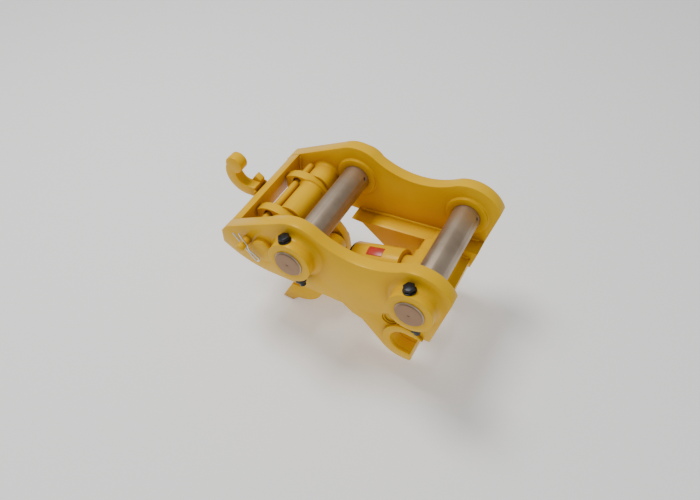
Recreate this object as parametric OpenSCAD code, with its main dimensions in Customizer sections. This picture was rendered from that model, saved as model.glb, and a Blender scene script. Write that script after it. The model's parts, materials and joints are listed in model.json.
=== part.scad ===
// Quick coupler for a compact excavator: a welded frame that stays on the
// digging arm, a fixed jaw at the arm end and a moving jaw at the link end.
// X runs from the link pin to the arm pin, Y along the pins and Z up.
// The origin is on the arm pin's axis, midway between the side plates.

/* [Pins and side plates] */
// Distance between the link pin and the arm pin
pin_spacing = 193; // [175:1:240]
// Diameter of the link pin and the arm pin
pin_d = 45; // [36:1:54]
// Clear width between the side plates
arm_gap = 174; // [170:1:240]
// Thickness of each side plate
plate_t = 20; // [14:1:26]
// Outer radius of the side plates round each pin
round_r = 56; // [50:1:68]
// Radius of the concave waist between the two rounds
waist_r = 125; // [100:1:180]
// Depth of the plates below the pins
belly_drop = 72.5; // [68:0.5:84]
// Radius of the belly curve under the nose
belly_r = 150; // [120:1:200]
// Reach of the nose past the link pin
nose_reach = 137.5; // [132:0.5:160]
// Slope of the plates' front edge, in degrees
nose_slope = 28.2; // [26:0.1:31]
// Length of the bevel at the tip of the nose
nose_bevel = 9.5; // [5:0.5:14]

/* [Pin bosses and bolts] */
// Wall of the bosses round the pins
boss_wall = 12.5; // [10:0.5:15]
// How far the outer bosses stand off the plates
boss_h = 23; // [21:1:30]
// Thickness of the pads on the plates' inner faces
pad_h = 4; // [3:1:10]
// How far a pin stands out of its bosses
pin_proud = 3.5; // [1:0.5:6]
// Thread diameter of the retaining bolts
bolt_d = 10; // [8:1:12]
// Lean of the link pin's bolt towards the nose, in degrees
link_bolt_lean = 17; // [0:1:25]
// Lean of the arm pin's bolt towards the nose, in degrees
arm_bolt_lean = 12; // [0:1:25]

/* [Fixed jaw] */
// Diameter of the bucket pins that the jaws hold
bucket_pin_d = 45; // [36:1:46]
// Distance of the fixed seat below the arm pin
seat_drop = 99; // [96:1:112]
// Distance of the fixed seat from the arm pin towards the nose
seat_back = 10; // [5:1:15]
// Wall of the fixed jaw's lip round its seat
lip_wall = 26; // [22:1:30]
// Angle that the fixed jaw's mouth points down, in degrees
mouth_tilt = 5; // [0:1:8]
// Reach of the lip past the seat's centre
lip_reach = 12; // [6:1:16]
// Distance of the arm end's straight edge from the arm pin
arm_edge = 44.5; // [42:0.5:52]
// Undercut of the arm end's straight edge, in degrees
arm_undercut = 13; // [8:0.5:15]
// Thickness of the inner jaw plates
jaw_plate_t = 30; // [20:1:34]
// Thickness of the raised rings round the mouth
seat_ring_t = 5; // [3:0.5:8]
// Width of the raised rings round the mouth
seat_ring_w = 12; // [8:1:14]

/* [Moving jaw] */
// Distance of the jaw's pivot from the link pin towards the nose
pivot_back = 58; // [56:1:66]
// Distance of the jaw's pivot below the link pin
pivot_drop = 21; // [16:1:26]
// Diameter of the jaw's pivot pin
pivot_d = 32; // [26:1:34]
// Outer diameter of the jaw's hub
hub_d = 46; // [44:0.5:47]
// Thickness of each jaw cheek
cheek_t = 15.5; // [12:0.5:18]
// Side gap between the cheeks and the inner jaw plates
cheek_gap = 5.5; // [3:0.5:8]
// Outer radius of the moving jaw round its seat
jaw_r = 54; // [50:1:58]
// Diameter of the pin between the jaw and the cylinder's rod
rod_pin_d = 22; // [18:1:24]

/* [Cylinder] */
// Outer diameter of the cylinder's barrel
barrel_d = 60; // [52:1:64]
// Bore of the cylinder's barrel
barrel_bore = 40; // [36:1:44]
// Diameter of the piston rod
rod_d = 25; // [20:1:28]
// Distance of the cylinder's rear pin from the arm pin towards the nose
rear_pin_back = 38; // [36:1:44]
// Distance of the cylinder's rear pin below the arm pin
rear_pin_drop = 63.5; // [60:0.5:66]
// Diameter of the cylinder's rear pin
rear_pin_d = 24; // [20:1:26]
// Depth of the lock valve block under the barrel
valve_h = 18; // [18:1:22]

/* [Safety pin and lifting hook] */
// Diameter of the safety pin
safety_pin_d = 13; // [10:0.5:14]
// Wire diameter of the safety pin's clip
clip_wire_d = 2.5; // [2:0.1:3]
// Thickness of the lifting hook
hook_t = 18; // [14:1:30]
// Radius of the lifting hook's throat
throat_r = 17; // [14:0.5:20]
// Width of the lifting hook's bow
hook_w = 19.5; // [14:0.5:22]
// Radius of the round head at the lifting hook's tip
hook_head_r = 15; // [12:0.5:18]

/* [Hidden] */
$fn = 96;

paint = "gold";
steel = "silver";
dark = "dimgray";

// Clearances: a fit that turns or slides, a loose hole, and a side gap
run_gap = 0.05;
bolt_gap = 0.5;
side_gap = 0.3;
// Clearance round the rod pin, where the jaw's linkage is left open
eye_gap = 1.6;
// A cut runs this far past the face that it breaks through
past = 1;
// Lines and arcs that run into each other cross by this much
blend = 0.3;

pin_r = pin_d / 2;
pin_bore = pin_r + run_gap;
boss_r = pin_r + boss_wall;
gap_y = arm_gap / 2;
plate_y = gap_y + plate_t;
boss_y = plate_y + boss_h;
pin_y = boss_y + pin_proud;
jaw_plate_y = gap_y - jaw_plate_t;
cheek_y = jaw_plate_y - cheek_gap;
cheek_in_y = cheek_y - cheek_t;
ring_y = plate_y + seat_ring_t;

link = [-pin_spacing, 0];
arm = [0, 0];
seat = [-seat_back, -seat_drop];
seat_r = bucket_pin_d / 2 + bolt_gap;
lip_r = seat_r + lip_wall;
// A mouth is a little narrower than its seat, so that its edges meet the round
mouth_h = 2 * (seat_r - blend);
pivot = link + [-pivot_back, -pivot_drop];
pivot_r = pivot_d / 2;
hub_r = hub_d / 2;
jaw_seat = pivot + [13, -117];
rod_pin_at = pivot + [48, -89];
rear_pin_at = [-rear_pin_back, -rear_pin_drop];
safety_at = pivot + [-30, 7];
safety_r = safety_pin_d / 2;

// Places on an outline, as [x, z]
function on_circle(c, r, a) = c + r * [cos(a), sin(a)];
function tangent_point(p, c, r, side) =
    on_circle(c, r, atan2(p[1] - c[1], p[0] - c[0]) + side * acos(r / norm(p - c)));

waist = [
    -pin_spacing / 2,
    sqrt(pow(round_r + waist_r, 2) - pow(pin_spacing / 2, 2)),
];
waist_a = atan2(waist[1], pin_spacing / 2);
slope_top = on_circle(link, round_r - blend, 90 + nose_slope);
nose_x = link[0] - nose_reach;
bevel_x = nose_x + nose_bevel;
bevel_z = slope_top[1] - (slope_top[0] - bevel_x) * tan(nose_slope);
nose_z = bevel_z - nose_bevel * 1.3;
belly = [link[0] - 47, belly_r - belly_drop - blend];
jaw_slope = 47.3;
lip_tangent = on_circle(seat, lip_r - blend, 270 - jaw_slope);
jaw_slope_top = [
    lip_tangent[0] - (-belly_drop - lip_tangent[1]) / tan(jaw_slope),
    -belly_drop,
];
arm_edge_top_a = acos(arm_edge / round_r) - arm_undercut;
arm_edge_top = on_circle(arm, round_r, arm_edge_top_a);
// The plates' blanks reach past the arm end's straight edge, which trims them
edge_high = arm_edge_top + [1.6, -6];
mouth_corner = arm_edge_top + (arm_edge_top[1] - seat[1]) * [-tan(arm_undercut), -1] + [3, 0];

// Flat pieces with their outlines in the XZ plane, from y0 to y1
module slab(y0, y1) {
    for (i = [0 : $children - 1])
        translate([0, y1, 0]) rotate([90, 0, 0]) linear_extrude(y1 - y0) children(i);
}

// A round bar along Y
module bar(at, r, y0, y1) {
    translate([at[0], y0, at[1]]) rotate([-90, 0, 0]) cylinder(r = r, h = y1 - y0);
}

// A round bar with a chamfer at each end
module chamfered_bar(at, r, y0, y1, c) {
    translate([at[0], y0, at[1]]) rotate([-90, 0, 0]) rotate_extrude()
        polygon([
            [0, 0], [r - c, 0], [r, c], [r, y1 - y0 - c], [r - c, y1 - y0], [0, y1 - y0],
        ]);
}

// A ring along Y
module tube(at, r, bore, y0, y1) {
    difference() {
        bar(at, r, y0, y1);
        bar(at, bore, y0 - past, y1 + past);
    }
}

// The same piece at the far side, mirrored across the middle
module far_side() {
    mirror([0, 1, 0]) children();
}

// The piece at both sides
module both_sides() {
    children();
    far_side() children();
}

// Space in front of the arm end's straight edge, between y0 and y1
module beyond_arm_edge(y0, y1) {
    slab(y0 - past, y1 + past)
        rotate(-arm_undercut) translate([arm_edge, -2 * seat_drop])
            square([seat_drop, 4 * seat_drop]);
}

// Mouth of the fixed jaw between y0 and y1, with the space past the lip's end
module fixed_mouth(y0, y1) {
    slab(y0 - past, y1 + past) {
        translate(seat) circle(r = seat_r);
        translate(seat) rotate(-mouth_tilt) translate([0, -mouth_h / 2])
            square([2 * lip_r, mouth_h]);
        translate(seat + [lip_reach, -2 * lip_r]) square([2 * lip_r, 2 * lip_r]);
    }
}

// Blank of a side plate, before its pin holes
module side_blank(y0, y1) {
    difference() {
        slab(y0, y1) {
            translate(link) circle(r = round_r);
            translate(arm) circle(r = round_r);
            translate(seat) circle(r = lip_r);
            polygon([
                slope_top,
                on_circle(link, round_r, waist_a),
                on_circle(arm, round_r, 180 - waist_a),
                edge_high,
                mouth_corner,
                seat,
                lip_tangent,
                jaw_slope_top,
                [belly[0], -belly_drop],
                [nose_x, -belly_drop],
                [nose_x, nose_z],
                [bevel_x, bevel_z],
            ]);
        }
        slab(y0 - past, y1 + past) {
            translate(waist) circle(r = waist_r + blend);
            difference() {
                translate([nose_x - past, -belly_drop - past])
                    square([belly[0] - nose_x + past, belly_drop / 2]);
                translate(belly) circle(r = belly_r);
            }
        }
        beyond_arm_edge(y0, y1);
        fixed_mouth(y0, y1);
    }
}

module side_plate() {
    difference() {
        side_blank(-plate_y, -gap_y);
        bar(link, pin_bore, -plate_y - past, -gap_y + past);
        bar(arm, pin_bore, -plate_y - past, -gap_y + past);
        bar(pivot, pivot_r + run_gap, -plate_y - past, -gap_y + past);
        bar(rear_pin_at, rear_pin_d / 2 + run_gap, -plate_y - past, -gap_y + past);
        bar(safety_at, safety_r + run_gap, -plate_y - past, -gap_y + past);
    }
}

module side_plate_near() {
    color(paint) side_plate();
}

module side_plate_far() {
    color(paint) far_side() side_plate();
}

// Bar across the nose, its top in line with the plates' front edge
bar_back_x = nose_x + 27;
bar_drop = 19;
module front_cross_bar() {
    bar_top = bevel_z + (bar_back_x - bevel_x) * tan(nose_slope);
    color(paint) slab(-gap_y, gap_y)
        polygon([
            [nose_x + 2, nose_z],
            [bevel_x, bevel_z],
            [bar_back_x, bar_top],
            [bar_back_x, nose_z - bar_drop],
            [nose_x + 2, nose_z - bar_drop],
        ]);
}

// Lifting hook welded to the front of the bar, a little to the near side
hook_at = [nose_x - 15.5, 13];
hook_out_r = throat_r + hook_w;
hook_near_y = -15;
hook_far_y = hook_near_y + hook_t;
hook_head_a = 138;
hook_head_at = on_circle(hook_at, throat_r + 8.5, hook_head_a);
module lifting_hook() {
    reach = 2 * hook_out_r;
    color(paint) {
        difference() {
            slab(hook_near_y, hook_far_y) {
                translate(hook_at) circle(r = hook_out_r);
                translate(hook_at - [0, hook_out_r - blend]) square([reach, hook_w]);
            }
            slab(hook_near_y - past, hook_far_y + past) {
                translate(hook_at) circle(r = throat_r);
                polygon([
                    hook_at,
                    on_circle(hook_at, reach, hook_head_a),
                    hook_at + [0, reach],
                    hook_at + [reach, reach],
                    hook_at + [reach, -throat_r],
                    hook_at + [0, -throat_r],
                ]);
                translate([nose_x + 2, -reach]) square([reach, 2 * reach]);
            }
        }
        bar(hook_head_at, hook_head_r, hook_near_y, hook_far_y);
    }
}

// Web that braces the hook against the bar
gusset_t = 12;
module hook_gusset() {
    foot = hook_at[1] - hook_out_r;
    color(paint) slab(hook_far_y, hook_far_y + gusset_t)
        polygon([
            [nose_x - 24, foot + 4],
            [nose_x + 2, foot + 4],
            [nose_x + 2, foot + 22],
            [nose_x - 8, foot + 29],
        ]);
}

// Inner plates that double the fixed jaw's thickness
jaw_top_slope = 6.4;
jaw_plate_x = link[0] + 5;
jaw_plate_z = -69;
jaw_heel = seat + [-100, -17];
module jaw_plate() {
    right_x = arm_edge / cos(arm_undercut);
    difference() {
        slab(-gap_y, -jaw_plate_y) {
            translate(seat) circle(r = lip_r);
            polygon([
                [jaw_plate_x, jaw_plate_z],
                [right_x, jaw_plate_z + (right_x - jaw_plate_x) * tan(jaw_top_slope)],
                mouth_corner,
                seat,
                tangent_point(jaw_heel, seat, lip_r - blend, 1),
                jaw_heel,
                [link[0] + 26, jaw_plate_z - 1],
            ]);
        }
        beyond_arm_edge(-gap_y, -jaw_plate_y);
        fixed_mouth(-gap_y, -jaw_plate_y);
        bar(rear_pin_at, rear_pin_d / 2 + run_gap, -gap_y - past, -jaw_plate_y + past);
    }
}

module jaw_plate_near() {
    color(paint) jaw_plate();
}

module jaw_plate_far() {
    color(paint) far_side() jaw_plate();
}

// Raised rings round the mouth, on the plates' outer faces
module seat_ring() {
    difference() {
        bar(seat, seat_r + seat_ring_w, -ring_y, -plate_y);
        beyond_arm_edge(-ring_y, -plate_y);
        fixed_mouth(-ring_y, -plate_y);
    }
}

module seat_ring_near() {
    color(paint) seat_ring();
}

module seat_ring_far() {
    color(paint) far_side() seat_ring();
}

// Plate that ties the inner jaw plates together above the mouth
cross_plate_t = 12;
module rear_cross_plate() {
    bottom = seat[1] + seat_r + 4;
    color(paint) translate([seat[0] + 2, -jaw_plate_y, bottom])
        cube([34, 2 * jaw_plate_y, cross_plate_t]);
}

// Places along a retaining bolt, measured from the pin's axis
bolt_r = bolt_d / 2;
bolt_y = plate_y + boss_h / 2;
spot_face = boss_r - 0.4;
washer_t = 2;
head_h = 0.64 * bolt_d;
nut_h = 0.84 * bolt_d;
bolt_tail = boss_r + 18.5;
hex_r = 0.8 * bolt_d / cos(30);

// Turns what stands on a pin's axis to the lean of its bolt
module at_bolt(at, lean) {
    translate([at[0], -bolt_y, at[1]]) rotate([0, -lean, 0]) children();
}

module at_both_bolts() {
    at_bolt(link, link_bolt_lean) children();
    at_bolt(arm, arm_bolt_lean) children();
}

module outer_boss(at) {
    difference() {
        bar(at, boss_r, -boss_y, -plate_y);
        bar(at, pin_bore, -boss_y - past, -plate_y + past);
    }
}

module bolt_cut() {
    translate([0, 0, -bolt_tail]) cylinder(r = bolt_r + bolt_gap, h = 2 * bolt_tail);
    for (side = [0, 180])
        rotate([0, side, 0]) translate([0, 0, spot_face]) cylinder(r = bolt_d + bolt_gap, h = bolt_d);
}

module outer_bosses_near() {
    color(paint) difference() {
        union() {
            outer_boss(link);
            outer_boss(arm);
        }
        at_both_bolts() bolt_cut();
    }
}

module outer_bosses_far() {
    color(paint) far_side() {
        outer_boss(link);
        outer_boss(arm);
    }
}

module inner_pads() {
    for (at = [link, arm]) tube(at, boss_r - 1, pin_bore, -gap_y, -gap_y + pad_h);
}

module inner_pads_near() {
    color(paint) inner_pads();
}

module inner_pads_far() {
    color(paint) far_side() inner_pads();
}

// Link and arm pins: chamfered, drilled for the bolt and for grease
pin_chamfer = 2.5;
grease_r = 3;
grease_depth = 20;
// The grease leaves by a cross hole beside the far pad
grease_y = gap_y - pad_h - 8;
grease_a = 30;
// Centre mark that the lathe leaves in the near end
centre_r = 2.2;
module main_pin(at, lean) {
    difference() {
        chamfered_bar(at, pin_r, -pin_y, pin_y, pin_chamfer);
        at_bolt(at, lean)
            translate([0, 0, -pin_d]) cylinder(r = bolt_r + bolt_gap, h = 2 * pin_d);
        bar(at, grease_r, pin_y - grease_depth, pin_y + past);
        translate([at[0], grease_y, at[1]]) rotate([0, 90 - grease_a, 0])
            cylinder(r = grease_r, h = pin_d);
        translate([at[0], -pin_y - past, at[1]]) rotate([-90, 0, 0])
            cylinder(r1 = centre_r + past, r2 = 0, h = centre_r + past);
    }
}

module link_pin() {
    color(steel) main_pin(link, link_bolt_lean);
}

module arm_pin() {
    color(steel) main_pin(arm, arm_bolt_lean);
}

module retaining_bolts() {
    color(dark) at_both_bolts() {
        translate([0, 0, spot_face + washer_t]) cylinder(r = hex_r, h = head_h, $fn = 6);
        translate([0, 0, -bolt_tail]) cylinder(r = bolt_r, h = bolt_tail + spot_face + washer_t);
    }
}

module bolt_washers() {
    color(dark) at_both_bolts() for (side = [0, 180])
        rotate([0, side, 0]) translate([0, 0, spot_face]) difference() {
            cylinder(r = bolt_d, h = washer_t);
            translate([0, 0, -past]) cylinder(r = bolt_r + run_gap, h = washer_t + 2 * past);
        }
}

module retaining_nuts() {
    color(dark) at_both_bolts()
        translate([0, 0, -spot_face - washer_t - nut_h]) difference() {
            cylinder(r = hex_r, h = nut_h, $fn = 6);
            translate([0, 0, -past]) cylinder(r = bolt_r + run_gap, h = nut_h + 2 * past);
        }
}

// Jaw pivot: a plain pin, two end caps, and the spacers beside the cheeks
cap_t = 7;
cap_r = 20.5;
spacer_r = pivot_r + 8;
module jaw_pivot_pin() {
    color(steel) bar(pivot, pivot_r, -plate_y, plate_y);
}

module pivot_caps() {
    color(paint) both_sides() translate([pivot[0], -plate_y, pivot[1]]) rotate([90, 0, 0])
        rotate_extrude()
            polygon([[0, 0], [cap_r, 0], [cap_r, cap_t - 2], [cap_r - 2, cap_t], [0, cap_t]]);
}

module pivot_spacers() {
    color(paint) both_sides()
        tube(pivot, spacer_r, pivot_r + run_gap, -gap_y, -cheek_y - side_gap);
}

// The cylinder's rear pin sits below the plates' outer faces
rear_pin_sink = 4;
rear_pin_y = plate_y - rear_pin_sink;
ring_t = 2;
eye_w = 56;
rear_spacer_r = rear_pin_d / 2 + 6;
module cylinder_rear_pin() {
    color(paint) chamfered_bar(rear_pin_at, rear_pin_d / 2, -rear_pin_y, rear_pin_y, 1.5);
}

module rear_pin_rings() {
    color(paint) both_sides()
        tube(rear_pin_at, rear_pin_d / 2, rear_pin_d / 2 - 3, -rear_pin_y - ring_t, -rear_pin_y);
}

module rear_pin_spacers() {
    color(paint) both_sides() tube(
        rear_pin_at, rear_spacer_r, rear_pin_d / 2 + run_gap,
        -jaw_plate_y, -eye_w / 2 - side_gap
    );
}

// Grease nipples in the far ends of the two pins
module grease_nipples() {
    color(steel) for (at = [link, arm]) translate([at[0], pin_y - 6, at[1]]) rotate([-90, 0, 0]) {
        cylinder(r = grease_r - run_gap, h = 6);
        translate([0, 0, 6]) cylinder(r = 4.5, h = 4, $fn = 6);
        translate([0, 0, 10]) cylinder(r = 2.2, h = 5);
        translate([0, 0, 15]) sphere(r = 3);
    }
}

// Slot in the jaw's tails that lets the jaw swing with the safety pin in place
swing_open = 15;
swing_close = 4;
slot_r = safety_r + 0.8;
safety_arm = norm(safety_at - pivot);
safety_a = atan2(safety_at[1] - pivot[1], safety_at[0] - pivot[0]);
slot_ends = [safety_a + swing_close, safety_a - swing_open];
module swing_slot(y0, y1) {
    difference() {
        intersection() {
            bar(pivot, safety_arm + slot_r, y0, y1);
            slab(y0, y1) translate(pivot) polygon([
                [0, 0],
                2 * safety_arm * [cos(slot_ends[0]), sin(slot_ends[0])],
                2 * safety_arm * [cos(slot_ends[1]), sin(slot_ends[1])],
            ]);
        }
        bar(pivot, safety_arm - slot_r, y0 - past, y1 + past);
    }
    for (a = slot_ends) bar(on_circle(pivot, safety_arm, a), slot_r + blend, y0, y1);
}

module cheek_blank(y0, y1) {
    difference() {
        slab(y0, y1) {
            translate(jaw_seat) circle(r = jaw_r);
            translate(pivot) polygon([
                [-49, 15], [-40, 21], [-30, 24.5], [-17, 25.5], [-4, 23], [10, 17], [22, 3],
                [44, -57], [56, -71], [64, -90], [66.5, -111], [13, -117], [-35, -93],
                [-27, -52], [-47, -12],
            ]);
            translate(pivot) polygon([
                [14, -139], [-22, -178], [-15.5, -183], [4, -184.5], [18, -170],
            ]);
        }
        slab(y0 - past, y1 + past) {
            translate(jaw_seat) circle(r = seat_r);
            translate(jaw_seat) polygon([
                [0, 0], [0, mouth_h / 2], [-jaw_r - 20, mouth_h / 2], [-jaw_r - 20, -73],
                [-32, -73], [-7, -21],
            ]);
        }
    }
}

module jaw_cheek() {
    difference() {
        cheek_blank(-cheek_y, -cheek_in_y);
        swing_slot(-cheek_y - past, -cheek_in_y + past);
        bar(pivot, pivot_r + 2 + run_gap, -cheek_y - past, -cheek_in_y + past);
        bar(rod_pin_at, rod_pin_d / 2 + run_gap, -cheek_y - past, -cheek_in_y + past);
    }
}

module jaw_cheek_near() {
    color(paint) jaw_cheek();
}

module jaw_cheek_far() {
    color(paint) far_side() jaw_cheek();
}

module jaw_hub() {
    color(paint) tube(pivot, hub_r, pivot_r + 2 + run_gap, -cheek_in_y, cheek_in_y);
}

module jaw_hub_bushes() {
    color("goldenrod") both_sides()
        tube(pivot, pivot_r + 2, pivot_r + run_gap, -cheek_y, -cheek_in_y + 12);
}

// Curved web that ties the cheeks behind the seat
web_t = 20;
web_from = -98;
web_to = -2;
module jaw_cross_web() {
    color(paint) slab(-cheek_in_y, cheek_in_y) translate(jaw_seat) intersection() {
        difference() {
            circle(r = jaw_r);
            circle(r = jaw_r - web_t);
        }
        polygon([
            [0, 0],
            2 * jaw_r * [cos(web_from), sin(web_from)],
            2 * jaw_r * [1, -1],
            2 * jaw_r * [cos(web_to), sin(web_to)],
        ]);
    }
}

rod_pin_y = cheek_y + 3;
module rod_pin() {
    color(steel) chamfered_bar(rod_pin_at, rod_pin_d / 2, -rod_pin_y, rod_pin_y, 1);
}

module rod_pin_rings() {
    color(dark) both_sides()
        tube(rod_pin_at, rod_pin_d / 2 + 3, rod_pin_d / 2 + run_gap, -cheek_y - ring_t, -cheek_y);
}

// Cylinder, drawn along its own axis from the rear pin towards the rod pin
ram = rod_pin_at - rear_pin_at;
ram_l = norm(ram);
ram_dip = atan2(-ram[1], -ram[0]);
barrel_r = barrel_d / 2;
bore_r = barrel_bore / 2;
rod_r = rod_d / 2;
end_eye_r = 21;
rod_eye_r = rod_pin_d / 2 + 8;
barrel_from = 25;
barrel_to = ram_l - 60;
cap_to = barrel_from + 8;
gland_from = barrel_to - 16;
piston_to = gland_from - 9;
piston_l = 16;
eye_bush_t = 2;

// Places a piece drawn along +X from the rear pin, with +Z to its upper side
module on_ram() {
    translate([rear_pin_at[0], 0, rear_pin_at[1]]) rotate([0, 180 - ram_dip, 0])
        mirror([0, 0, 1]) children();
}

// A round piece on the ram's axis
module on_axis(r, from, to) {
    translate([from, 0, 0]) rotate([0, 90, 0]) cylinder(r = r, h = to - from);
}

module cylinder_barrel() {
    color(paint) on_ram() difference() {
        on_axis(barrel_r, barrel_from, barrel_to);
        on_axis(bore_r, barrel_from - past, barrel_to + past);
    }
}

module cylinder_end_eye() {
    color(paint) on_ram() difference() {
        union() {
            bar([0, 0], end_eye_r, -eye_w / 2, eye_w / 2);
            on_axis(end_eye_r, 0, barrel_from);
            on_axis(bore_r - run_gap, barrel_from, cap_to);
        }
        bar([0, 0], rear_pin_d / 2 + eye_bush_t, -eye_w / 2 - past, eye_w / 2 + past);
    }
}

module end_eye_bush() {
    color("goldenrod") tube(
        rear_pin_at, rear_pin_d / 2 + eye_bush_t, rear_pin_d / 2 + run_gap, -eye_w / 2, eye_w / 2
    );
}

module cylinder_gland() {
    color(dark) on_ram() difference() {
        union() {
            on_axis(bore_r - run_gap, gland_from, barrel_to);
            on_axis(barrel_r - 2, barrel_to, barrel_to + 4);
        }
        on_axis(rod_r + run_gap, gland_from - past, barrel_to + 4 + past);
        on_axis(rod_r + 3, barrel_to, barrel_to + 4 + past);
    }
}

module rod_wiper() {
    color("black") on_ram() difference() {
        on_axis(rod_r + 3, barrel_to, barrel_to + 5);
        on_axis(rod_r + run_gap, barrel_to - past, barrel_to + 5 + past);
    }
}

// Lock valve block saddled under the barrel, with two hose ports in its foot
valve_from = barrel_from + 20;
valve_to = barrel_to - 20;
valve_w = 50;
port_r = 5.9;
port_depth = 12;
port_y = 12;
port_x = valve_from + 14;
cartridge_h = barrel_r + valve_h / 2;
cartridge_r = valve_h / 2 - 1;
module lock_valve_block() {
    color(paint) on_ram() difference() {
        translate([valve_from, -valve_w / 2, -barrel_r - valve_h])
            cube([valve_to - valve_from, valve_w, valve_h + 12]);
        on_axis(barrel_r, 0, ram_l);
        for (y = [-port_y, port_y])
            translate([port_x, y, -barrel_r - valve_h - past])
                cylinder(r = port_r, h = port_depth + past);
    }
}

module valve_cartridge() {
    color(dark) on_ram() translate([valve_to, 0, -cartridge_h]) rotate([0, 90, 0]) {
        cylinder(r = cartridge_r, h = 2);
        translate([0, 0, 2]) cylinder(r = cartridge_r - 1, h = 7, $fn = 6);
    }
}

// Plain label wrapped over the top of the barrel
label_from = 55;
label_l = 28;
label_t = 0.6;
label_half_a = 16;
label_lean = 8;
module label_plate() {
    color("firebrick") on_ram() intersection() {
        difference() {
            on_axis(barrel_r + label_t, label_from, label_from + label_l);
            on_axis(barrel_r, label_from - past, label_from + label_l + past);
        }
        rotate([label_lean, 0, 0]) translate([label_from, 0, 0]) rotate([90, 0, 90])
            linear_extrude(label_l) polygon([
                [0, 0],
                barrel_d * [sin(label_half_a), cos(label_half_a)],
                barrel_d * [-sin(label_half_a), cos(label_half_a)],
            ]);
    }
}

module piston_rod() {
    color(steel) on_ram() on_axis(rod_r, piston_to, ram_l - rod_eye_r - 6);
}

module piston() {
    color(steel) on_ram() difference() {
        on_axis(bore_r - run_gap, piston_to - piston_l, piston_to);
        difference() {
            on_axis(bore_r + past, piston_to - piston_l + 5, piston_to - piston_l + 11);
            on_axis(bore_r - 3, piston_to - piston_l, piston_to);
        }
    }
}

module piston_seal() {
    color("black") on_ram() difference() {
        on_axis(bore_r - run_gap, piston_to - piston_l + 5, piston_to - piston_l + 11);
        on_axis(bore_r - 3, piston_to - piston_l, piston_to);
    }
}

rod_eye_w = 2 * cheek_in_y - 10;
module rod_eye() {
    color(paint) on_ram() difference() {
        union() {
            bar([ram_l, 0], rod_eye_r, -rod_eye_w / 2, rod_eye_w / 2);
            on_axis(rod_r + 3, ram_l - rod_eye_r - 6, ram_l - 6);
        }
        bar([ram_l, 0], rod_pin_d / 2 + eye_gap + eye_bush_t, -rod_eye_w, rod_eye_w);
    }
}

module rod_eye_bush() {
    color("goldenrod") on_ram() tube(
        [ram_l, 0], rod_pin_d / 2 + eye_gap + eye_bush_t, rod_pin_d / 2 + eye_gap,
        -rod_eye_w / 2, rod_eye_w / 2
    );
}

// Safety pin: its head is at the far side and its clip at the near side
safety_end_y = plate_y + 24;
safety_head_t = 7;
safety_head_r = safety_arm - cap_r - 1;
clip_y = plate_y + 13;
clip_r = clip_wire_d / 2;
clip_hole = clip_r + 0.35;
clip_turn = 50;
module safety_pin() {
    color(paint) difference() {
        union() {
            chamfered_bar(safety_at, safety_r, -safety_end_y, plate_y + 2, 1.5);
            bar(safety_at, safety_head_r, plate_y + side_gap, plate_y + side_gap + safety_head_t);
        }
        translate([safety_at[0], -clip_y, safety_at[1]]) rotate([0, clip_turn, 0])
            translate([-safety_pin_d, 0, 0]) rotate([0, 90, 0])
                cylinder(r = clip_hole, h = 2 * safety_pin_d);
    }
}

// Round wire along places in the XZ plane, swept as rings of wire_sides points
wire_sides = 10;
function unit(v) = v / norm(v);
function heading(places, i) =
    unit(places[min(i + 1, len(places) - 1)] - places[max(i - 1, 0)]);
function wire_ring(at, along, r) = [
    for (k = [0 : wire_sides - 1])
        let (out = r * cos(k * 360 / wire_sides))
            [at[0] - out * along[1], r * sin(k * 360 / wire_sides), at[1] + out * along[0]],
];
module wire(places, r) {
    last = len(places) - 1;
    points = [for (i = [0 : last]) each wire_ring(places[i], heading(places, i), r)];
    sides = [
        for (i = [0 : last - 1], k = [0 : wire_sides - 1])
            let (a = i * wire_sides + k, b = i * wire_sides + (k + 1) % wire_sides)
                [a, a + wire_sides, b + wire_sides, b],
    ];
    near_end = [for (k = [0 : wire_sides - 1]) k];
    far_end = [for (k = [wire_sides - 1 : -1 : 0]) last * wire_sides + k];
    polyhedron(points, concat([near_end], sides, [far_end]));
}

// Spring clip: a straight leg through the pin, an eye, and a leg that bears on the pin
module safety_pin_clip() {
    hug = safety_r + clip_r + 0.4;
    loop_r = 4.5;
    loop_x = 30;
    straight = [[-24, 0]];
    loop = [for (a = [-90 : 30 : 120]) [loop_x, loop_r] + loop_r * [cos(a), sin(a)]];
    hugging = [for (a = [50 : 20 : 90]) hug * [cos(a), sin(a)]];
    tail = [[-10, hug + 0.5], [-20, hug + 3]];
    color(steel) translate([safety_at[0], -clip_y, safety_at[1]]) rotate([0, clip_turn, 0])
        wire(concat(straight, loop, [[12, 3.5]], hugging, tail), clip_r);
}

side_plate_near();
side_plate_far();
front_cross_bar();
lifting_hook();
hook_gusset();
jaw_plate_near();
jaw_plate_far();
seat_ring_near();
seat_ring_far();
rear_cross_plate();
outer_bosses_near();
outer_bosses_far();
inner_pads_near();
inner_pads_far();
link_pin();
arm_pin();
retaining_bolts();
bolt_washers();
retaining_nuts();
jaw_pivot_pin();
pivot_caps();
pivot_spacers();
cylinder_rear_pin();
rear_pin_rings();
rear_pin_spacers();
grease_nipples();
jaw_cheek_near();
jaw_cheek_far();
jaw_hub();
jaw_hub_bushes();
jaw_cross_web();
rod_pin();
rod_pin_rings();
cylinder_barrel();
cylinder_end_eye();
end_eye_bush();
cylinder_gland();
rod_wiper();
lock_valve_block();
valve_cartridge();
label_plate();
piston_rod();
piston();
piston_seal();
rod_eye();
rod_eye_bush();
safety_pin();
safety_pin_clip();
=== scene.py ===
import bpy
import json
import math
from mathutils import Matrix, Vector

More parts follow.
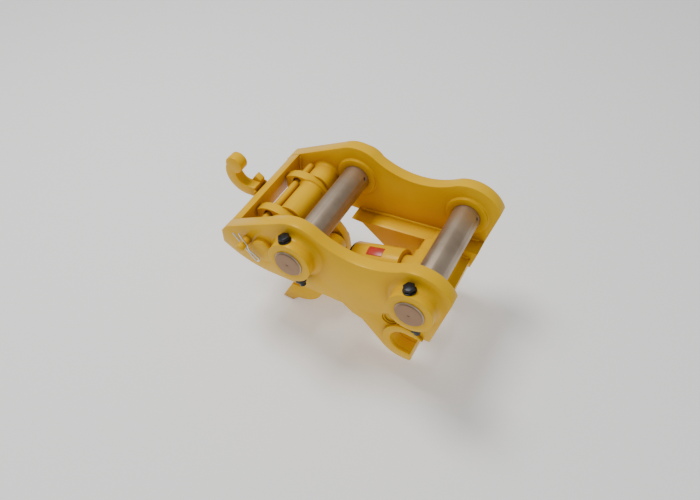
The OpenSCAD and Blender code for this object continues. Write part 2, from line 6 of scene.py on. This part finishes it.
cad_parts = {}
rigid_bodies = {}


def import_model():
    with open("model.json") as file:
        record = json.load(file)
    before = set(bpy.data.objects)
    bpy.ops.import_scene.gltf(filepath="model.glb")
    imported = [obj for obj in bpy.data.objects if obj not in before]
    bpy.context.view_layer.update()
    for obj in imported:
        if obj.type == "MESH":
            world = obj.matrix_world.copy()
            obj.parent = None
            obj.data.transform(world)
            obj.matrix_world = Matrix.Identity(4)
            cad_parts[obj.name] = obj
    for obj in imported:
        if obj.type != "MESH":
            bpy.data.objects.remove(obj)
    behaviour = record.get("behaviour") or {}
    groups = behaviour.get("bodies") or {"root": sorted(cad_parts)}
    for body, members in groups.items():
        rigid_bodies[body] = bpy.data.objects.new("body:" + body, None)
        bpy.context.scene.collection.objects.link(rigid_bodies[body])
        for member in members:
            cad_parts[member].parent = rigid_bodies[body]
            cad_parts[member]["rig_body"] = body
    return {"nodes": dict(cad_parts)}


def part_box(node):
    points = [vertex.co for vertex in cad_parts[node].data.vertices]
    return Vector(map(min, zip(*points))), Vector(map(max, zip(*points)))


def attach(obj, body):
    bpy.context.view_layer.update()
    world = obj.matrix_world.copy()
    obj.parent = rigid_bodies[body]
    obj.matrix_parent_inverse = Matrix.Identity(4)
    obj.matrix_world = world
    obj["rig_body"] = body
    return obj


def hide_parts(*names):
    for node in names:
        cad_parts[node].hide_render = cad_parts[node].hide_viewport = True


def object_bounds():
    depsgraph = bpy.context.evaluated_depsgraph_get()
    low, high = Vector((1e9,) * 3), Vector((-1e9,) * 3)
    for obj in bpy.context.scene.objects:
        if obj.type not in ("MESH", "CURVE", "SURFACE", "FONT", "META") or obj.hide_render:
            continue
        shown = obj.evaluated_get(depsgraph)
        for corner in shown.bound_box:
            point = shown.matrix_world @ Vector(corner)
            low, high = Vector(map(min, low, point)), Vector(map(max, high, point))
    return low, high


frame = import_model()
cad_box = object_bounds()
nodes = frame["nodes"]
mm = 0.001


# Camera and studio
# The coupler lies on a pale floor under one large soft light from the upper
# left, a weaker one from the right and a plain light sky.
bpy.ops.object.camera_add(location=(177.3 * mm, -639.4 * mm, 717.5 * mm))
camera = bpy.context.object
camera_azimuth = math.radians(27.83)
camera_tilt = math.radians(90 - 47.80)
camera_roll = math.radians(0.264)
camera.rotation_euler = (
    Matrix.Rotation(camera_azimuth, 3, "Z")
    @ Matrix.Rotation(camera_tilt, 3, "X")
    @ Matrix.Rotation(camera_roll, 3, "Z")
).to_euler()
camera.data.lens = 33.63
camera.data.sensor_width = 36
camera.data.clip_start = 0.01
bpy.context.scene.camera = camera

floor_z = cad_box[0][2]
bpy.ops.mesh.primitive_plane_add(size=12, location=(0, 0, floor_z - 1 * mm))
floor = bpy.context.object
floor.name = "studio_floor"
floor_paint = bpy.data.materials.new("studio_floor")
floor_paint.use_nodes = True
floor_shader = floor_paint.node_tree.nodes["Principled BSDF"]
floor_shader.inputs["Base Color"].default_value = (0.93, 0.93, 0.92, 1)
floor_shader.inputs["Roughness"].default_value = 0.75
floor_shader.inputs["Emission Color"].default_value = (1, 1, 1, 1)
floor_shader.inputs["Emission Strength"].default_value = 0.30
floor.data.materials.append(floor_paint)


def soft_light(name, place, aim, size, power):
    bpy.ops.object.light_add(type="AREA", location=place)
    light = bpy.context.object
    light.name = name
    light.data.size = size
    light.data.energy = power
    light.rotation_euler = (Vector(aim) - Vector(place)).to_track_quat("-Z", "Y").to_euler()


middle = (-0.16, 0, -0.04)
soft_light("key_light", (-0.9, 0.1, 1.7), middle, 0.6, 27)
soft_light("fill_light", (1.2, -1.3, 1.0), middle, 1.2, 4)
sky = bpy.data.worlds.new("studio_sky")
sky.use_nodes = True
sky.node_tree.nodes["Background"].inputs["Color"].default_value = (1, 1, 1, 1)
sky.node_tree.nodes["Background"].inputs["Strength"].default_value = 0.36
bpy.context.scene.world = sky


# Paint
# Machinery yellow sprayed over welded plate: a thick semi-gloss coat with a fine orange peel
# and slow changes of tone. A painted shade deepens it to orange in the corners.
def add_node(material, kind, **settings):
    node = material.node_tree.nodes.new(kind)
    for key, value in settings.items():
        setattr(node, key, value)
    return node


def noise_of(material, scale, detail=3.0, stretch=(1, 1, 1)):
    """Noise in the piece's own coordinates, with scale in patches per metre."""
    place = add_node(material, "ShaderNodeTexCoord")
    mapping = add_node(material, "ShaderNodeMapping")
    mapping.inputs["Scale"].default_value = stretch
    noise = add_node(material, "ShaderNodeTexNoise")
    noise.inputs["Scale"].default_value = scale
    noise.inputs["Detail"].default_value = detail
    material.node_tree.links.new(place.outputs["Object"], mapping.inputs["Vector"])
    material.node_tree.links.new(mapping.outputs["Vector"], noise.inputs["Vector"])
    return noise.outputs["Fac"]


def colour_ramp(material, factor, stops):
    ramp = add_node(material, "ShaderNodeValToRGB")
    points = ramp.color_ramp.elements
    while len(points) < len(stops):
        points.new(0.5)
    for point, (where, colour) in zip(points, stops):
        point.position = where
        point.color = (*colour, 1)
    material.node_tree.links.new(factor, ramp.inputs["Fac"])
    return ramp.outputs["Color"]


def bump_of(material, height, strength, distance, under=None):
    bump = add_node(material, "ShaderNodeBump")
    bump.inputs["Strength"].default_value = strength
    bump.inputs["Distance"].default_value = distance
    material.node_tree.links.new(height, bump.inputs["Height"])
    if under is not None:
        material.node_tree.links.new(under, bump.inputs["Normal"])
    return bump.outputs["Normal"]


def roughness_of(material, factor, low, high):
    spread = add_node(material, "ShaderNodeMapRange")
    spread.inputs["To Min"].default_value = low
    spread.inputs["To Max"].default_value = high
    material.node_tree.links.new(factor, spread.inputs["Value"])
    return spread.outputs["Result"]


def new_material(name, metallic=0.0):
    material = bpy.data.materials.new(name)
    material.use_nodes = True
    shader = material.node_tree.nodes["Principled BSDF"]
    shader.inputs["Metallic"].default_value = metallic
    return material, shader, material.node_tree.links


paint, paint_shader, links = new_material("yellow_paint")
tone = colour_ramp(paint, noise_of(paint, 9, 4), [
    (0.30, (0.82, 0.455, 0.0)),
    (0.52, (0.88, 0.500, 0.0)),
    (0.72, (0.93, 0.545, 0.0)),
])
# Painted shade: an ambient-occlusion mask darkens the yellow towards deep orange in corners and
# crevices, where shade falls.
corners = add_node(paint, "ShaderNodeAmbientOcclusion", samples=8)
corners.inputs["Distance"].default_value = 25 * mm
painted_corner_shade = add_node(paint, "ShaderNodeMix", data_type="RGBA")
painted_corner_shade.inputs[6].default_value = (0.40, 0.17, 0.0, 1)
links.new(corners.outputs["AO"], painted_corner_shade.inputs[0])
links.new(tone, painted_corner_shade.inputs[7])
links.new(painted_corner_shade.outputs[2], paint_shader.inputs["Base Color"])
links.new(roughness_of(paint, noise_of(paint, 60, 3), 0.26, 0.42), paint_shader.inputs["Roughness"])
peel = bump_of(paint, noise_of(paint, 420, 2), 0.10, 0.25 * mm)
waves = bump_of(paint, noise_of(paint, 55, 2), 0.25, 0.5 * mm, peel)
links.new(waves, paint_shader.inputs["Normal"])
paint_shader.inputs["Specular IOR Level"].default_value = 0.30
paint_shader.inputs["Specular Tint"].default_value = (1.0, 0.74, 0.18, 1)
paint_shader.inputs["Coat Weight"].default_value = 0.04
paint_shader.inputs["Coat Roughness"].default_value = 0.14


# Welded frame and jaw
# Flame-cut plates, bosses and tubes. Each one is a copy of its solid with the
# sharp edges ground round, as thick paint leaves them.
def body_of(node):
    return nodes[node]["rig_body"]


def only(piece):
    bpy.ops.object.select_all(action="DESELECT")
    piece.select_set(True)
    bpy.context.view_layer.objects.active = piece


def ground_edges(node, width, material, steps=2):
    """A copy of a CAD node with its sharp edges rounded; it stands for the node."""
    piece = nodes[node].copy()
    piece.data = nodes[node].data.copy()
    for key in list(piece.keys()):
        del piece[key]
    piece.parent = None
    piece.name = node + "_painted" if material is paint else node + "_finished"
    bpy.context.scene.collection.objects.link(piece)
    only(piece)
    bpy.ops.object.mode_set(mode="EDIT")
    bpy.ops.mesh.select_all(action="SELECT")
    bpy.ops.mesh.customdata_custom_splitnormals_clear()
    bpy.ops.mesh.remove_doubles(threshold=0.005 * mm)
    bpy.ops.mesh.dissolve_limited(angle_limit=math.radians(0.4))
    bpy.ops.object.mode_set(mode="OBJECT")
    bevel = piece.modifiers.new("ground edges", "BEVEL")
    bevel.width = width
    bevel.segments = steps
    bevel.limit_method = "ANGLE"
    bevel.angle_limit = math.radians(28)
    bevel.harden_normals = False
    bpy.ops.object.modifier_apply(modifier=bevel.name)
    bpy.ops.object.mode_set(mode="EDIT")
    bpy.ops.mesh.select_all(action="SELECT")
    bpy.ops.mesh.quads_convert_to_tris(quad_method="BEAUTY", ngon_method="BEAUTY")
    bpy.ops.object.mode_set(mode="OBJECT")
    bpy.ops.object.shade_smooth_by_angle(angle=math.radians(32))
    piece.data.materials.clear()
    piece.data.materials.append(material)
    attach(piece, body_of(node))
    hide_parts(node)
    return piece


plate_edge = 1.2 * mm
for node in ("side_plate_near", "side_plate_far", "jaw_plate_near", "jaw_plate_far",
             "jaw_cheek_near", "jaw_cheek_far", "front_cross_bar", "lifting_hook"):
    ground_edges(node, plate_edge, paint)
trim_edge = 0.7 * mm
for node in ("hook_gusset", "seat_ring_near", "seat_ring_far", "rear_cross_plate",
             "outer_bosses_near", "outer_bosses_far", "inner_pads_near", "inner_pads_far",
             "pivot_caps", "pivot_spacers", "rear_pin_spacers", "jaw_hub", "jaw_cross_web",
             "cylinder_rear_pin", "cylinder_barrel", "cylinder_end_eye", "lock_valve_block",
             "rod_eye", "safety_pin", "rear_pin_rings"):
    ground_edges(node, trim_edge, paint)


# Link and arm pins
# Ground round bar, oiled: fine turning marks run round it, and its two end
# faces are browner than the bar.
pin_steel, pin_shader, links = new_material("ground_pin_steel", 0.9)
turning = noise_of(pin_steel, 60, 5, (1, 14, 1))
stain = noise_of(pin_steel, 18, 4)
barrel_tone = colour_ramp(pin_steel, stain, [
    (0.35, (0.36, 0.27, 0.19)),
    (0.62, (0.50, 0.40, 0.30)),
])
pin_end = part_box("arm_pin")[1].y - 1.2 * mm
place = add_node(pin_steel, "ShaderNodeTexCoord")
apart = add_node(pin_steel, "ShaderNodeSeparateXYZ")
links.new(place.outputs["Object"], apart.inputs["Vector"])
reach = add_node(pin_steel, "ShaderNodeMath", operation="ABSOLUTE")
links.new(apart.outputs["Y"], reach.inputs[0])
at_end = add_node(pin_steel, "ShaderNodeMath", operation="GREATER_THAN")
at_end.inputs[1].default_value = pin_end
links.new(reach.outputs["Value"], at_end.inputs[0])
faced = add_node(pin_steel, "ShaderNodeMix", data_type="RGBA")
faced.inputs[7].default_value = (0.30, 0.185, 0.11, 1)
links.new(at_end.outputs["Value"], faced.inputs[0])
links.new(barrel_tone, faced.inputs[6])
links.new(faced.outputs[2], pin_shader.inputs["Base Color"])
links.new(roughness_of(pin_steel, turning, 0.38, 0.54), pin_shader.inputs["Roughness"])
links.new(bump_of(pin_steel, turning, 0.12, 0.1 * mm), pin_shader.inputs["Normal"])
for node in ("link_pin", "arm_pin"):
    ground_edges(node, 0.4 * mm, pin_steel)


# Plain machined steel
# The jaw's pivot pin, the rod pin and the piston: turned steel with a thin
# film of oil, brighter than the two large pins.
turned, turned_shader, links = new_material("turned_steel", 1.0)
links.new(colour_ramp(turned, noise_of(turned, 40, 4), [
    (0.35, (0.42, 0.42, 0.41)),
    (0.65, (0.58, 0.57, 0.55)),
]), turned_shader.inputs["Base Color"])
links.new(roughness_of(turned, noise_of(turned, 90, 4, (1, 10, 1)), 0.25, 0.42),
          turned_shader.inputs["Roughness"])
for node in ("jaw_pivot_pin", "rod_pin", "piston"):
    ground_edges(node, 0.4 * mm, turned)


# Bolts, nuts, washers, rings and gland
# Black-oxide steel with a dull oily sheen.
oxide, oxide_shader, links = new_material("black_oxide", 0.55)
links.new(colour_ramp(oxide, noise_of(oxide, 160, 4), [
    (0.35, (0.008, 0.008, 0.010)),
    (0.70, (0.026, 0.027, 0.032)),
]), oxide_shader.inputs["Base Color"])
links.new(roughness_of(oxide, noise_of(oxide, 220, 3), 0.28, 0.45), oxide_shader.inputs["Roughness"])
for node in ("retaining_bolts", "retaining_nuts", "bolt_washers", "valve_cartridge",
             "cylinder_gland", "rod_pin_rings"):
    ground_edges(node, 0.5 * mm, oxide)


# Bushes
# Turned bronze, pressed into the hub and the cylinder's eyes.
bronze, bronze_shader, links = new_material("bronze", 1.0)
links.new(colour_ramp(bronze, noise_of(bronze, 70, 4), [
    (0.35, (0.42, 0.22, 0.07)),
    (0.65, (0.58, 0.33, 0.12)),
]), bronze_shader.inputs["Base Color"])
links.new(roughness_of(bronze, noise_of(bronze, 120, 3), 0.25, 0.4), bronze_shader.inputs["Roughness"])
for node in ("jaw_hub_bushes", "end_eye_bush", "rod_eye_bush"):
    ground_edges(node, 0.3 * mm, bronze)


# Seals
# Moulded black rubber with a matte, slightly dusty skin.
rubber, rubber_shader, links = new_material("seal_rubber")
links.new(colour_ramp(rubber, noise_of(rubber, 200, 4), [
    (0.3, (0.012, 0.012, 0.012)),
    (0.7, (0.03, 0.03, 0.03)),
]), rubber_shader.inputs["Base Color"])
rubber_shader.inputs["Roughness"].default_value = 0.6
for node in ("rod_wiper", "piston_seal"):
    ground_edges(node, 0.3 * mm, rubber)


# Piston rod
# Hard chrome, ground and polished.
chrome, chrome_shader, links = new_material("hard_chrome", 1.0)
links.new(colour_ramp(chrome, noise_of(chrome, 30, 2), [
    (0.3, (0.70, 0.71, 0.73)),
    (0.7, (0.80, 0.81, 0.83)),
]), chrome_shader.inputs["Base Color"])
links.new(roughness_of(chrome, noise_of(chrome, 300, 3), 0.06, 0.14), chrome_shader.inputs["Roughness"])
ground_edges("piston_rod", 0.5 * mm, chrome)


# Zinc-plated small parts
# Grease nipples and the spring clip: bright zinc over steel.
zinc, zinc_shader, links = new_material("zinc_plate", 1.0)
links.new(colour_ramp(zinc, noise_of(zinc, 400, 4), [
    (0.3, (0.55, 0.56, 0.58)),
    (0.7, (0.78, 0.79, 0.82)),
]), zinc_shader.inputs["Base Color"])
links.new(roughness_of(zinc, noise_of(zinc, 500, 3), 0.2, 0.34), zinc_shader.inputs["Roughness"])
for node in ("grease_nipples", "safety_pin_clip"):
    ground_edges(node, 0.15 * mm, zinc)


# Label
# A plain red sticker wrapped over the barrel, with no marking.
label, label_shader, links = new_material("red_label")
links.new(colour_ramp(label, noise_of(label, 90, 3), [
    (0.3, (0.50, 0.03, 0.015)),
    (0.7, (0.62, 0.05, 0.025)),
]), label_shader.inputs["Base Color"])
label_shader.inputs["Roughness"].default_value = 0.35
ground_edges("label_plate", 0.2 * mm, label)


# Weld fillets round the bosses, pads, caps and hub
# Each round part is welded all the way round. The bead is smoothed over by the
# paint, and only a faint ripple is left of its runs.
def ring_weld(name, node_at, face_y, outward, radius, leg, body, ripple=0.25 * mm):
    """A concave fillet round an axis along Y, from a face at face_y up a part of that radius."""
    x, z = node_at
    arc_steps = 6
    root = 0.6 * mm
    profile = [(radius - root, -root), (radius - root, leg)]
    for step in range(arc_steps + 1):
        turn = math.radians(90 * step / arc_steps)
        profile.append((radius + leg * (1 - math.cos(turn)), leg * (1 - math.sin(turn))))
    profile.append((radius + leg, -root))
    bpy.ops.object.select_all(action="DESELECT")
    bpy.ops.mesh.primitive_circle_add(vertices=len(profile), radius=leg, fill_type="NOTHING")
    piece = bpy.context.object
    piece.name = name
    for vertex, (r, rise) in zip(piece.data.vertices, profile):
        vertex.co = (x + r, face_y + outward * rise, z)
    bpy.ops.object.mode_set(mode="EDIT")
    bpy.ops.mesh.select_all(action="SELECT")
    bpy.ops.mesh.spin(steps=144, angle=math.tau, center=(x, 0, z), axis=(0, 1, 0))
    bpy.ops.mesh.select_all(action="SELECT")
    bpy.ops.mesh.remove_doubles(threshold=0.01 * mm)
    bpy.ops.mesh.normals_make_consistent(inside=False)
    bpy.ops.object.mode_set(mode="OBJECT")
    puddle = 2.6 * mm
    runs = round(math.tau * radius / puddle)
    for vertex in piece.data.vertices:
        dx, dz = vertex.co.x - x, vertex.co.z - z
        r = math.hypot(dx, dz)
        if r > radius:
            turn = math.atan2(dz, dx)
            swell = ripple * math.sin(runs * turn + 0.4 * math.sin(7 * turn))
            vertex.co.x += dx / r * swell
            vertex.co.z += dz / r * swell
    bpy.ops.object.shade_smooth_by_angle(angle=math.radians(60))
    piece.data.materials.append(paint)
    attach(piece, body)
    return piece


def middle_of(node):
    low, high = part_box(node)
    return (low + high) / 2


def half_of(node, axis):
    low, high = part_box(node)
    return (high[axis] - low[axis]) / 2


plate_face = -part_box("side_plate_near")[0].y
inner_face = -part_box("side_plate_near")[1].y
boss_radius = half_of("outer_bosses_far", 2)
pad_radius = half_of("inner_pads_far", 2)
link_at = (middle_of("link_pin").x, middle_of("link_pin").z)
arm_at = (middle_of("arm_pin").x, middle_of("arm_pin").z)
pivot_at = (middle_of("jaw_pivot_pin").x, middle_of("jaw_pivot_pin").z)
for side, hand in (("near", -1), ("far", 1)):
    for pin, at in (("link", link_at), ("arm", arm_at)):
        ring_weld(f"{pin}_boss_weld_{side}", at, hand * plate_face, hand,
                  boss_radius, 9 * mm, "frame")
        ring_weld(f"{pin}_pad_weld_{side}", at, hand * inner_face, -hand,
                  pad_radius, 2.5 * mm, "frame")
    ring_weld(f"pivot_cap_weld_{side}", pivot_at, hand * plate_face, hand,
              half_of("pivot_caps", 2), 0.9 * mm, "frame", 0.1 * mm)
    ring_weld(f"pivot_spacer_weld_{side}", pivot_at, hand * inner_face, -hand,
              half_of("pivot_spacers", 2), 4 * mm, "frame")
    cheek_inside = hand * -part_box("jaw_cheek_near")[1].y
    ring_weld(f"hub_weld_{side}", pivot_at, cheek_inside, -hand,
              half_of("jaw_hub", 2), 4 * mm, "moving_jaw")


# Straight weld beads
# Fillet runs laid by hand where the plates meet: each bead has the overlapping
# scales of its puddles, and its two ends taper.
def weld_bead(name, places, radius, body):
    """A bead along places, with the scales of its puddles and tapered ends."""
    bpy.ops.object.select_all(action="DESELECT")
    path = [Vector(place) for place in places]
    spans = [(b - a).length for a, b in zip(path, path[1:])]
    total = sum(spans)
    rings = max(12, min(150, round(total / (1.1 * mm))))
    bpy.ops.mesh.primitive_uv_sphere_add(segments=10, ring_count=rings, radius=1)
    piece = bpy.context.object
    piece.name = name
    pitch = 3.2 * mm
    for vertex in piece.data.vertices:
        along = math.acos(max(-1, min(1, vertex.co.z))) / math.pi
        reach = along * total
        i = 0
        while i < len(spans) - 1 and reach > spans[i]:
            reach -= spans[i]
            i += 1
        heading = (path[i + 1] - path[i]).normalized()
        side = heading.cross(Vector((0.3, 0.5, 0.8))).normalized()
        up = heading.cross(side)
        turn = math.atan2(vertex.co.y, vertex.co.x)
        taper = min(1, math.sqrt(max(0, min(along, 1 - along) * total / (1.2 * radius))))
        scale = abs(math.sin(math.pi * along * total / pitch))
        girth = radius * taper * (0.88 + 0.16 * scale)
        if along in (0, 1):
            girth = 0
        vertex.co = path[i] + heading * reach + girth * (math.cos(turn) * side + math.sin(turn) * up)
    bpy.ops.object.shade_smooth_by_angle(angle=math.radians(50))
    piece.data.materials.append(paint)
    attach(piece, body)
    return piece


seat_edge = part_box("jaw_plate_near")
ledge_left = Vector((seat_edge[0].x, 0, -69 * mm))  # the inner plates' left top corner
ledge_rise = math.tan(math.radians(6.4))
ledge_right_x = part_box("seat_ring_near")[1].x + 10 * mm
for side, hand in (("near", -1), ("far", 1)):
    y = hand * inner_face
    right = (ledge_right_x, y, ledge_left.z + (ledge_right_x - ledge_left.x) * ledge_rise)
    weld_bead(f"jaw_plate_weld_{side}", [(ledge_left.x + 4 * mm, y, ledge_left.z + 0.5 * mm), right],
              3.2 * mm, "frame")
    bar_low, bar_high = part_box("front_cross_bar")
    back = bar_high.x
    weld_bead(f"bar_weld_{side}", [
        (back, y, bar_low.z + 4 * mm), (back, y, bar_high.z - 3 * mm)], 3.4 * mm, "frame")
    web_low, web_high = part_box("rear_cross_plate")
    face = hand * web_high.y
    weld_bead(f"cross_plate_weld_{side}", [
        (web_low.x + 3 * mm, face, web_high.z), (web_high.x - 3 * mm, face, web_high.z)],
        2.6 * mm, "frame")
hook_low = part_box("lifting_hook")[0]
bar_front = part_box("front_cross_bar")[0].x + 0.5 * mm
hook_weld_low, hook_weld_high = -24 * mm, -8 * mm
for side, y in (("near", hook_low.y), ("far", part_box("hook_gusset")[1].y)):
    weld_bead(f"hook_weld_{side}", [
        (bar_front, y, hook_weld_low), (bar_front, y, hook_weld_high)], 3 * mm, "frame")
